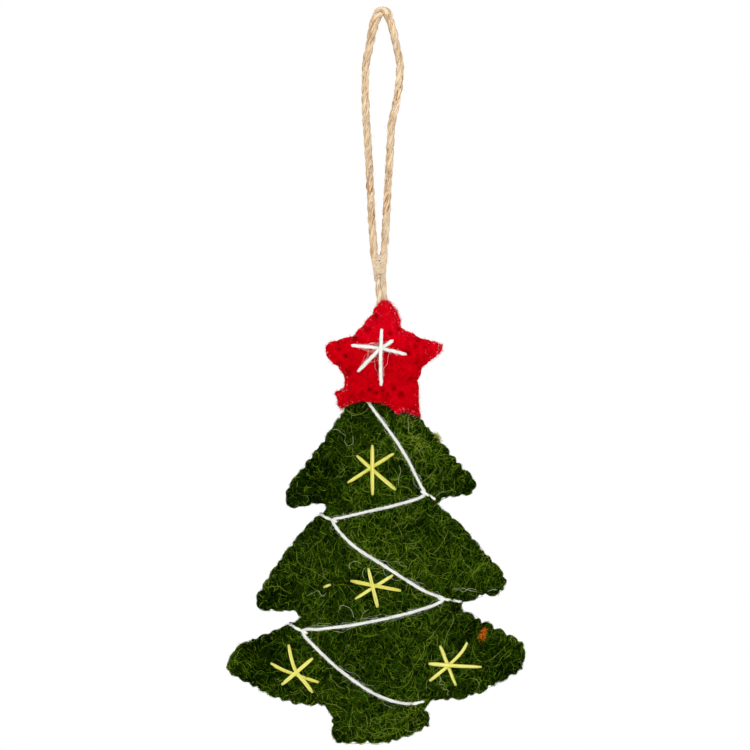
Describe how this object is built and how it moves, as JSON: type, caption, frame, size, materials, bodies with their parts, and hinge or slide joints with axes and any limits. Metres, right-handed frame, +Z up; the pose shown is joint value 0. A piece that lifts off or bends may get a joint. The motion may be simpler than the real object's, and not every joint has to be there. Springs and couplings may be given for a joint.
{
  "type": "felt christmas tree ornament",
  "caption": "Stuffed felt christmas tree hanging ornament with a felt star on top, a yarn garland, embroidered star stitches and a twine hanging loop.",
  "frame": {"origin": "hang point: the inside of the hanging loop's top, where it bears on a hook or twig", "axes": "+Z up along the hanging loop, +X to the viewer's right, front of the tree faces -Y"},
  "size_m": [0.0768, 0.0185, 0.1907],
  "materials": {
    "green_felt": "matte hairy wool felt",
    "red_felt": "matte hairy wool felt",
    "jute_twine": "twisted natural fibre",
    "yellow_floss": "soft stranded cotton",
    "white_yarn": "fuzzy wool yarn",
    "green_thread": "matte sewing thread",
    "red_thread": "matte sewing thread",
    "fibre_filling": "loose fibre"
  },
  "bodies": {
    "loop": {"hanging_loop": "jute_twine"},
    "neck": {"cord_binding": "jute_twine", "neck_strand_left": "jute_twine", "neck_strand_right": "jute_twine"},
    "ornament": {"cord_tail_left": "jute_twine", "cord_tail_right": "jute_twine", "star_front_felt": "red_felt", "star_back_felt": "red_felt", "star_edge_thread_left": "red_thread", "star_edge_thread_right": "red_thread", "white_star_stitch": "white_yarn", "tree_front_felt": "green_felt", "tree_back_felt": "green_felt", "tree_stuffing": "fibre_filling", "tree_edge_thread": "green_thread", "garland_yarn": "white_yarn", "yellow_star_top": "yellow_floss", "yellow_star_middle": "yellow_floss", "yellow_star_lower_left": "yellow_floss", "yellow_star_lower_right": "yellow_floss", "yellow_travel_stitch": "yellow_floss"}
  },
  "joints": [
    {"name": "loop_twist", "type": "hinge", "parent": "loop", "child": "neck", "pos_m": [-0.0012, 0, -0.0626], "axis": [0, 0, 1], "range_deg": [-90, 90]},
    {"name": "loop_fold", "type": "hinge", "parent": "neck", "child": "ornament", "pos_m": [-0.00055, 0, -0.072], "axis": [1, 0, 0], "range_deg": [-90, 90]}
  ]
}
